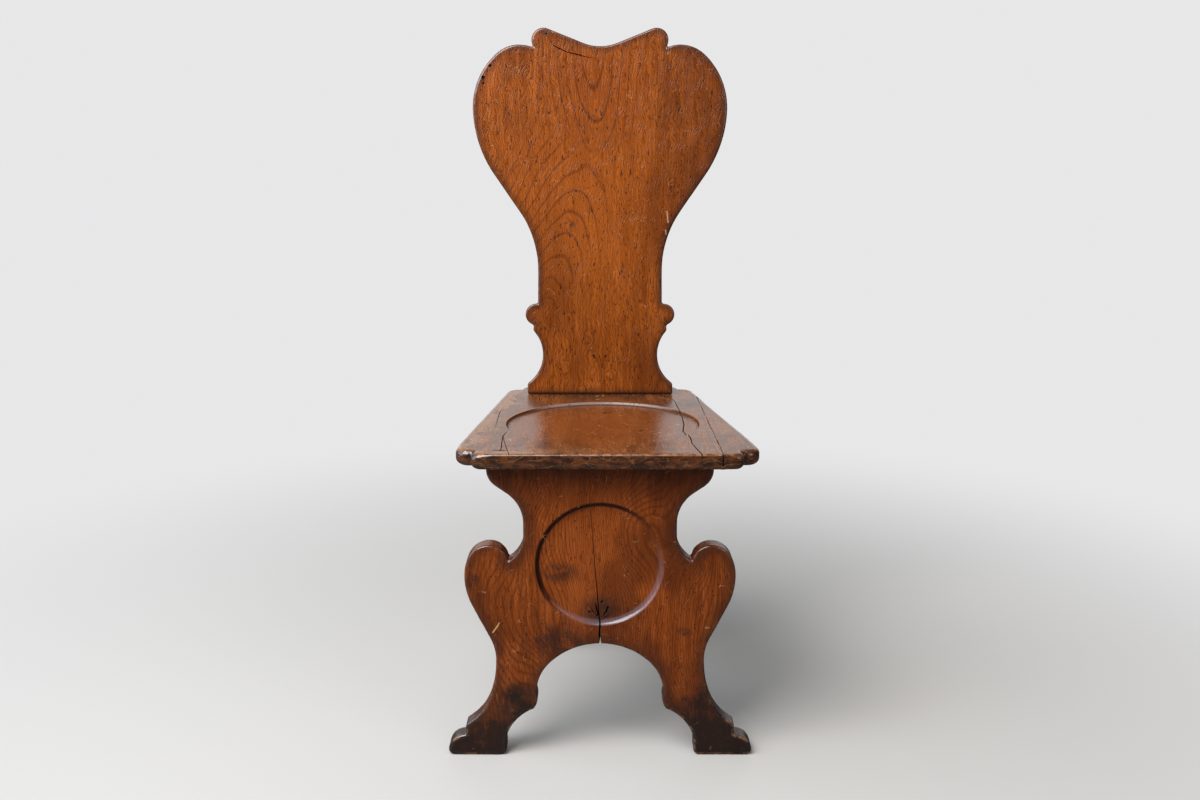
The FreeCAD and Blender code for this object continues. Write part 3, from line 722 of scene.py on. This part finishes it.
def trestle_ground(wood):
    """Dark red-brown with swirling figure, lighter in the dish, with painted shadow under the seat, and
    darker towards the right.
    """
    dark, light = (0.130, 0.026, 0.0032), (0.300, 0.066, 0.0080)
    glowing = (0.350, 0.078, 0.0088)
    late_wood = (0.075, 0.014, 0.0022)
    mottled = (0.065, 0.013, 0.0025)
    shade = (0.040, 0.007, 0.0012)
    under_seat = wood.rise(wood.axis(wood.board, "Z"), 0.330, 0.418)
    rightwards = wood.rise(wood.axis(wood.board, "X"), 0.06, 0.20)
    wood.plain(dark, light, softness=0.20)
    wood.tint(wood.spot(FRONT_DISH.centre, (0.12, 0.12, 0.12)) * 0.42, glowing)
    wood.tint(wood.swirls(scale=8, bulge=0.14, spacing=0.0040) * 0.55, late_wood)
    wood.tint(wood.curls * 0.30, late_wood)
    wood.tint(wood.rise(wood.mottle, 0.47, 0.62) * 0.60, mottled)
    # painted shadow just under the seat, where the seat's shadow falls; the same colour also darkens the
    # board towards the right
    wood.tint(under_seat * 0.55 + rightwards * 0.25, shade)


def trestle_marks(wood):
    """Dark blots and two pale scores."""
    blots = [
        (on_front(-54, 265), (0.036, 0.02, 0.022)), (on_front(-170, 256), (0.012, 0.02, 0.015)),
        (on_front(114, 183), (0.014, 0.02, 0.009)), (on_front(0, 212), (0.044, 0.03, 0.032)),
        (on_front(-58, 168), (0.060, 0.03, 0.034)), (on_front(-116, 95), (0.026, 0.03, 0.020)),
    ]
    wood.mark(blots, (0.030, 0.012, 0.007))
    scores = [
        (on_front(-139, 192), on_front(-146, 182), 2.5 * MM),
        (on_front(-137, 196), on_front(-139, 192), 1.8 * MM),
    ]
    wood.mark(scores, (0.55, 0.33, 0.14))


def trestle_feet(wood):
    """Blackened feet, rubbed along their arrises and scratched."""
    brown, soot = (0.050, 0.015, 0.006), (0.015, 0.0100, 0.0085)
    rubbed, scratched = (0.22, 0.100, 0.045), (0.16, 0.09, 0.055)
    ragged = (wood.noise(wood.board, scale=17, detail=5, roughness=0.68) - 0.5) * 0.26
    level = wood.axis(wood.board, "Z") + ragged
    sooty = 1 - wood.rise(level, 0.040, 0.115)
    wood.tint((1 - wood.rise(level, 0.06, 0.20)) * 0.14, brown)
    wood.tint(sooty * 0.93, soot)
    wood.tint(wood.near_edge(reach=3, scale=60, low=0.46, high=0.60) * sooty * 0.7, rubbed)
    wood.tint(wood.scratches(scale=52, thinness=0.010) * sooty * 0.5, scratched)


def trestle_wood():
    """Waxed wood with black feet, and with a painted shadow on the upper left and a painted bluish
    reflection on the lower right of the dish's rim.
    """
    wood = Wood("trestle_wood", (0, 0, 0), swirl=0.030)
    across = wood.axis(wood.board, "X")
    above_dish = wood.axis(wood.board, "Z") - FRONT_DISH.centre.z
    shadow, rim_reflection = (0.014, 0.004, 0.002), (0.145, 0.150, 0.190)
    upper_left = 1 - wood.rise(across - above_dish, -0.06, 0.03)
    lower_right = wood.rise(across * 0.5 - above_dish * 0.87, 0, 0.085)
    trestle_ground(wood)
    # painted shadow: the upper left of the dish's rim darkened, where its cove is turned from the light
    shadowed = wood.dish_rim(FRONT_DISH, inset=1.5 * MM, reach=4.5 * MM) * upper_left
    wood.tint(shadowed * 0.95, shadow)
    wood.age(pores=0.50, dirt=0.68, dirt_reach=20, rubbed=0.15, rubbed_reach=2.5)
    trestle_marks(wood)
    trestle_feet(wood)
    # painted reflection: a bluish grey in the lower right of the rim's cove stands in for reflected light
    wood.tint(wood.dish_rim(FRONT_DISH, inset=4 * MM, reach=5 * MM) * lower_right * 0.34, rim_reflection)
    polished_rim = wood.dish_rim(FRONT_DISH, inset=4 * MM, reach=6 * MM) * lower_right
    polished = wood.worn_arris() * 0.35 + polished_rim * 0.22
    return wood.wax(shine=0.28, roughness=0.24, curl=0.15, polished=polished)


# The other finishes

def hidden_wood(name, rotation):
    """Plain unwaxed wood of the pieces under the seat."""
    dark, light = (0.080, 0.036, 0.018), (0.190, 0.095, 0.048)
    mottled = (0.070, 0.036, 0.021)
    wood = Wood(name, rotation, swirl=0.020)
    wood.plain(dark, light, softness=0.14)
    wood.tint(wood.rise(wood.mottle, 0.48, 0.68) * 0.6, mottled)
    wood.age(pores=0.6, dirt=0.5, dirt_reach=8, rubbed=0.3, rubbed_reach=2)
    return wood.wax(shine=0.2, roughness=0.62, curl=0.15, polished=0)


def crack_shade():
    """The walls of cracks and holes: dark fibrous wood, near black as painted shade of their depths."""
    black, brown = (0.008, 0.004, 0.0025), (0.035, 0.016, 0.009)
    finish = Finish("crack_shade")
    fibrous = finish.noise(finish.place, scale=300, detail=3)
    # painted shade: near-black walls stand in for the shade deep in the cracks and holes
    finish.cover(finish.blend(fibrous, black, brown), roughness=0.8)
    return finish.material


def forged_iron():
    """Dark hammered iron with a little rust."""
    dark, rusty = (0.035, 0.033, 0.032), (0.090, 0.038, 0.018)
    finish = Finish("forged_iron")
    rust = finish.rise(finish.noise(finish.place, scale=260, detail=4, roughness=0.6), 0.50, 0.66)
    finish.cover(finish.blend(rust, dark, rusty), 0.45 + rust * 0.35, 0.8 - rust * 0.7)
    hammered = finish.noise(finish.place, scale=320, detail=3)
    finish.relief(hammered, depth=0.4 * MM, strength=0.6)
    return finish.material


CRACK_WALLS = crack_shade()
IRON = forged_iron()
BACK_FINISH = back_wood()
SEAT_FINISH = seat_wood()
TRESTLE_FINISH = trestle_wood()
UPRIGHT_HIDDEN = hidden_wood("hidden_wood_upright", (0, 0, 0))
RAIL_HIDDEN = hidden_wood("hidden_wood_rail", (math.pi / 2, 0, math.pi / 2))
CLEAT_HIDDEN = hidden_wood("hidden_wood_cleat", (0, math.pi / 2, 0))


# Back board

def back_board():
    board = solid_copy("back_board", "worn_back_board", BACK_FINISH)
    turn(board, BACK_RAKE)
    seated = UPRIGHT_BACK_FOOT.z - 2 * MM
    round_arrises(board, 3 * MM, lambda middle: middle.z > seated)
    even_out(board, spacing=1.5 * MM)
    wear(board, Y, unevenness=0.9 * MM, chips=1.0 * MM)
    lighten(board, most=150000)
    face = Matrix.Translation(UPRIGHT_BACK_FOOT) @ Matrix.Rotation(math.pi / 2, 4, "X")
    crest = [
        (-75, 551, 0.8), (-66, 546, 2.6), (-52, 539.5, 2.0),
        (-37, 536, 2.8), (-22, 532, 2.0), (-4, 530, 0.6),
    ]
    cutters = [crack(crest, face, steepness=5)]
    round_holes = [(-173, 518.6, 5.4), (-184, 500, 6.4), (-183.4, 491.5, 3.4), (-84.8, 568, 3.2)]
    flat_holes = [(-32, 13.7, 2.6), (-20.8, 15.3, 2.2)]
    for across, along, width in round_holes:
        cutters.append(hole(across, along, width, width, depth=4, place=face))
    for across, along, width in flat_holes:
        cutters.append(hole(across, along, width, width * 0.8, depth=4, place=face))
    arrises = arris_tree(board, Y)
    cut_out(board, cutters, CRACK_WALLS)
    note_rims(board, arrises)
    turn(board, -BACK_RAKE)
    hand_over(board, "back_board")


# Seat board and its edge strip

def on_seat_edge(place):
    """Whether a place is at the seat's outer edge, not at a mortise or the strip's dowelled joint."""
    dowels_start, dowels_end = 0.010, 0.160
    inner_half_width = 0.130
    inner_start, inner_end = 0.012, 0.425
    joint_reach = 4 * MM
    dowel_reach = 22 * MM
    depth = place.y - SEAT_FRONT
    reach = dowel_reach if dowels_start < depth < dowels_end else joint_reach
    from_joint = abs(place.x - STRIP_FRONT + depth * STRIP_TAPER)
    at_joint = from_joint < reach and depth < STRIP_END - joint_reach
    inside = abs(place.x) < inner_half_width and inner_start < depth < inner_end
    return not (at_joint or inside)


def climb(value, start, length):
    """Rises evenly from 0 at the start to 1 a length further on."""
    return min(max((value - start) / length, 0), 1)


def seat_radii(place):
    """The radii of the upper and lower arris: fullest at the front corners, none at the strip's end."""
    corner_start, corner_width = 0.150, 0.025
    corner_end, corner_fade = 0.060, 0.040
    tip_reach = 0.04
    strip_side = 0.1
    upper, upper_more = 4, 5
    lower, lower_more = 8, 2
    sideways = climb(abs(place.x - SEAT_MIDDLE), corner_start, corner_width)
    forward = climb(SEAT_FRONT + corner_end - place.y, 0, corner_fade)
    corner = sideways * forward
    from_tip = abs(place.y - SEAT_FRONT - STRIP_END)
    tip = climb(from_tip, 0, tip_reach) if place.x > strip_side else 1
    return (upper + upper_more * corner) * tip * MM, (lower + lower_more * corner) * tip * MM


def fair_outline(seat):
    """Brings the edge behind the strip's end out, so that the outline runs on."""
    edge_start = 0.147
    step = 2.2 * MM
    stretch = 0.03
    for point in seat.data.vertices:
        behind = point.co.y - SEAT_FRONT - STRIP_END
        if point.co.x > edge_start and -MM < behind < stretch:
            point.co.x += step * (1 - max(behind, 0) / stretch)


def seat_cracks():
    """Cutters for the cracks in the seat's face."""
    face = Matrix.Translation((0, SEAT_FRONT, SEAT_TOP))
    right = [
        (111, 362, 0.6), (112.3, 354, 1.2), (116.7, 324, 1.6), (118.6, 280, 1.8), (122, 232, 2.2),
        (121.3, 186, 2.8), (117.3, 148, 2.6), (123.6, 89, 2.4), (123.3, 58, 1.8), (129, 18, 2.2),
        (133, -6, 2.4),
    ]
    left = [
        (-129, 137, 0.6), (-131, 118, 1.7), (-133.3, 101, 2.2),
        (-132, 62, 1.6), (-130.3, 29, 2.0), (-131, 14, 0.8),
    ]
    fork = [(-133, 99, 1.0), (-129, 68, 1.5), (-124.5, 39, 1.7), (-116.7, -6, 1.5)]
    rear_left = [(-98, 380, 1.6), (-95, 340, 1.6), (-92, 312, 1.4), (-89, 287, 0.8)]
    rear_right = [(103.6, 378, 1.4), (102, 330, 1.4), (103.8, 290, 0.8)]
    near_middle = [(-43, 45, 0.6), (-37, 30, 1.5), (-32, 17, 1.7), (-27, -6, 1.4)]
    near_left = [(-94, 40, 0.6), (-86, 18, 1.5), (-76, -6, 1.5)]
    old_left = [(-146.6, 287, 0.6), (-150, 250, 1.6), (-149.5, 212, 1.8), (-148.4, 148, 0.6)]
    tee = [(-142, 22, 1.0), (-136, 21, 4.0), (-128, 21, 4.5), (-121, 22, 1.0)]
    shallow = [rear_left, rear_right, near_middle, near_left, old_left, tee]
    cutters = [crack(right, face, steepness=12)]
    cutters.append(crack(left, face, steepness=7))
    cutters.append(crack(fork, face, steepness=6))
    return cutters + [crack(line, face, steepness=5) for line in shallow]


def seat_board():
    seat = solid_copy("seat_board", "worn_seat_board", SEAT_FINISH)
    face = Matrix.Identity(4)
    fill_dish(seat, SEAT_DISH, depth=4, face=face)
    even_out(seat, spacing=1.5 * MM)
    fair_outline(seat)
    round_over(seat, on_seat_edge, seat_radii)
    wear(seat, Z, unevenness=1.0 * MM, chips=0.7 * MM, wanted=on_seat_edge)
    lighten(seat, most=150000)
    arrises = arris_tree(seat, Z, on_seat_edge)
    cove = [(0, 0), (0.8, 1.4), (1.8, 2.6), (3.2, 3.5), (5.0, 3.9), (7.5, 4.0)]
    turn_dish(seat, SEAT_DISH, cove, face)
    cut_out(seat, seat_cracks(), CRACK_WALLS)
    note_rims(seat, arrises)
    hand_over(seat, "seat_board")


def seat_edge_strip():
    strip = solid_copy("seat_edge_strip", "worn_seat_strip", SEAT_FINISH)
    even_out(strip, spacing=1.3 * MM)
    round_over(strip, on_seat_edge, seat_radii)
    wear(strip, Z, unevenness=0.6 * MM, chips=0.6 * MM, wanted=on_seat_edge)
    note_rims(strip, arris_tree(strip, Z, on_seat_edge))
    hand_over(strip, "seat_edge_strip")


# Trestles

def on_trestle_outline(place):
    """Whether a place is under the seat, and neither at the dish nor at the mortise in the rear face."""
    under_seat = place.z < SEAT_TOP - SEAT_THICKNESS - MM
    dish_margin = 3 * MM
    mortise_reach = 0.03
    mortise_start = FRONT_FACE + 0.02
    at_dish = (place - FRONT_DISH.centre).length < FRONT_DISH.radius + dish_margin
    at_mortise = abs(place.x) < mortise_reach and place.y > mortise_start
    return under_seat and not (at_dish or at_mortise)


def split_and_holes(face):
    """Cutters for the long split down the dish, with the grooves and holes at its rim."""
    split = [
        (-13.3, 363, 0.8), (-12, 345, 1.4), (-10.7, 330, 1.3), (-8.1, 293, 1.7), (-6.5, 268, 1.9),
        (-4.1, 243, 2.1), (-2, 212, 2.4), (0, 193, 2.8), (-0.8, 180, 3.0), (0.7, 160, 3.4),
    ]
    grooves = [
        [(-6, 224, 1.6), (-5, 215, 3.8), (-2, 203, 3.4)],
        [(-15, 219, 1.0), (-10, 211, 3.0), (-3, 203, 3.4)],
        [(11, 218, 3.4), (9, 211, 4.2), (3, 202, 2.4)],
        [(14, 207, 1.2), (7, 202, 3.4), (0, 198, 2.2)],
    ]
    holes = [(3, 224, 7, 7.5), (11, 215, 6.5, 7), (-14, 209.5, 7, 5)]
    cutters = [crack(split, face, steepness=16)]
    cutters += [crack(groove, face, steepness=9) for groove in grooves]
    return cutters + [hole(*place_and_size, depth=8, place=face) for place_and_size in holes]


def front_trestle():
    board = solid_copy("front_trestle", "worn_front_trestle", TRESTLE_FINISH)
    forwards = Matrix.Rotation(math.pi / 2, 4, "X")
    fill_dish(board, FRONT_DISH, depth=5, face=forwards)
    round_arrises(board, 3 * MM, on_trestle_outline)
    even_out(board, spacing=1.2 * MM)
    wear(board, Y, unevenness=0.9 * MM, chips=1.2 * MM)
    lighten(board, most=160000)
    arrises = arris_tree(board, Y)
    cove = [(0, 0), (0.6, 1.1), (2.2, 2.7), (3.8, 4.0), (5.4, 4.7), (7.0, 4.95), (9.0, 5.0)]
    turn_dish(board, FRONT_DISH, cove, forwards)
    face = Matrix.Translation((0, FRONT_FACE, 0)) @ forwards
    cut_out(board, split_and_holes(face), CRACK_WALLS)
    level_soles(board)
    note_rims(board, arrises)
    hand_over(board, "front_trestle")


def rear_trestle():
    board = solid_copy("rear_trestle", "worn_rear_trestle", TRESTLE_FINISH)
    turn(board, REAR_RAKE)
    foot = min(point.co.z for point in board.data.vertices)
    under_seat = foot + 0.415
    beside_mortise = 0.025
    round_arrises(board, 3 * MM, lambda middle: middle.z < under_seat and abs(middle.x) > beside_mortise)
    even_out(board, spacing=2.0 * MM)
    wear(board, Y, unevenness=0.9 * MM, chips=1.2 * MM)
    note_rims(board, arris_tree(board, Y))
    turn(board, -REAR_RAKE)
    level_soles(board)
    hand_over(board, "rear_trestle")


# Pieces under the seat

def hewn(node, finish, radius, face_axis):
    """A small piece with knife-cut arrises."""
    piece = solid_copy(node, f"hewn_{node}", finish)
    round_arrises(piece, radius)
    even_out(piece, spacing=1.3 * MM)
    wear(piece, face_axis, unevenness=0.8 * MM, chips=1.0 * MM)
    note_rims(piece, arris_tree(piece, face_axis))
    hand_over(piece, node)


def as_made(node, finish):
    """Keeps a solid as it is, in its finish."""
    nodes[node].data.materials.clear()
    nodes[node].data.materials.append(finish)


back_board()
seat_board()
seat_edge_strip()
front_trestle()
rear_trestle()
hewn("stretcher", RAIL_HIDDEN, radius=2 * MM, face_axis=X)
hewn("stretcher_key", UPRIGHT_HIDDEN, radius=1 * MM, face_axis=X)
hewn("front_cleat", CLEAT_HIDDEN, radius=2 * MM, face_axis=Z)
hewn("rear_cleat", CLEAT_HIDDEN, radius=2 * MM, face_axis=Z)
hewn("back_key_left", RAIL_HIDDEN, radius=1 * MM, face_axis=X)
hewn("back_key_right", RAIL_HIDDEN, radius=1 * MM, face_axis=X)
as_made("seat_strip_dowels", CLEAT_HIDDEN)
as_made("front_cleat_nails", IRON)
as_made("rear_cleat_nails", IRON)


# Floor, light and camera

BACKGROUND = (0.80, 0.80, 0.81)
DAYLIGHT = (0.98, 0.98, 1.0)
BLUE_SKY = (0.66, 0.83, 1.0)
PALE_SKY = (0.86, 0.93, 1.0)
MIDDLE = Vector((0, 0, 0.5))
CAMERA_DISTANCE = 1.5025
CAMERA_HEIGHT = 0.8314
CAMERA_PITCH = 12


def pale_floor():
    """A wide floor that fades into the pale background, so that no edge shows."""
    pale, mirrored = (0.50, 0.475, 0.44), (0.06, 0.05, 0.04)
    bpy.ops.mesh.primitive_circle_add(vertices=96, radius=14, fill_type="NGON")
    floor = bpy.context.object
    floor.name = "floor"
    finish = Finish("pale_floor")
    finish.cover(finish.blend(finish.ray("Glossy"), pale, mirrored), roughness=0.6)
    away = finish.vector("LENGTH", finish.place, output="Value")
    far = finish.rise(away, 0.3, 1.7) * finish.ray("Camera")
    near_floor = Wire(finish, finish.shader.outputs[0])
    far_floor = finish.node("ShaderNodeEmission", None, {"Color": BACKGROUND, "Strength": 1.0})
    shown = finish.node("ShaderNodeMixShader", None, {0: far, 1: near_floor, 2: far_floor})
    finish.feed(finish.tree.nodes["Material Output"].inputs["Surface"], shown)
    floor.data.materials.append(finish.material)


def soft_light(name, place, width, height, power, colour):
    """A large lamp that faces the middle of the chair."""
    bpy.ops.object.light_add(type="AREA", location=place)
    lamp = bpy.context.object
    lamp.name = name
    lamp.data.shape = "RECTANGLE"
    lamp.data.size = width
    lamp.data.size_y = height
    lamp.data.energy = power
    lamp.data.color = colour
    lamp.rotation_euler = (MIDDLE - Vector(place)).to_track_quat("-Z", "Y").to_euler()


def room():
    """Pale to the camera; to light and reflections dim in front, bright behind and on the left."""
    dim, mirrored = (0.17, 0.165, 0.16), (0.06, 0.055, 0.05)
    bright, bluish = (0.86, 0.87, 0.88), (0.48, 0.60, 0.78)
    world = bpy.data.worlds.new("room")
    bpy.context.scene.world = world
    world.use_nodes = True
    shading = Shading(world.node_tree)
    direction = shading.node("ShaderNodeTexCoord", None, None, "Generated")
    behind = shading.rise(shading.axis(direction, "Y"), 0.55, 0.95)
    leftward = 1 - shading.rise(shading.axis(direction, "X"), -0.95, -0.60)
    light = shading.blend(shading.ray("Glossy"), dim, mirrored)
    light = shading.blend(behind, light, bright)
    light = shading.blend(leftward, light, bluish)
    background = world.node_tree.nodes["Background"]
    shading.feed(background.inputs["Color"], shading.blend(shading.ray("Camera"), light, BACKGROUND))


def front_camera():
    """A camera on the chair's centre line, pitched down at it."""
    place = (0, SEAT_FRONT - CAMERA_DISTANCE, CAMERA_HEIGHT)
    bpy.ops.object.camera_add(location=place, rotation=(math.radians(90 - CAMERA_PITCH), 0, 0))
    camera = bpy.context.object
    camera.data.sensor_width = 36
    camera.data.lens = 36
    bpy.context.scene.camera = camera


pale_floor()
room()
soft_light("window", (-1.5, -1.7, 2.9), width=2.2, height=2.2, power=147, colour=DAYLIGHT)
soft_light("fill", (2.2, -2.2, 2.0), width=1.6, height=1.6, power=16, colour=DAYLIGHT)
soft_light("left_window", (-2.4, -0.5, 1.6), width=2.0, height=1.8, power=32, colour=BLUE_SKY)
soft_light("skylight", (-0.5, -0.8, 2.8), width=1.6, height=1.6, power=26, colour=PALE_SKY)
front_camera()
bpy.context.scene.view_settings.view_transform = "Standard"
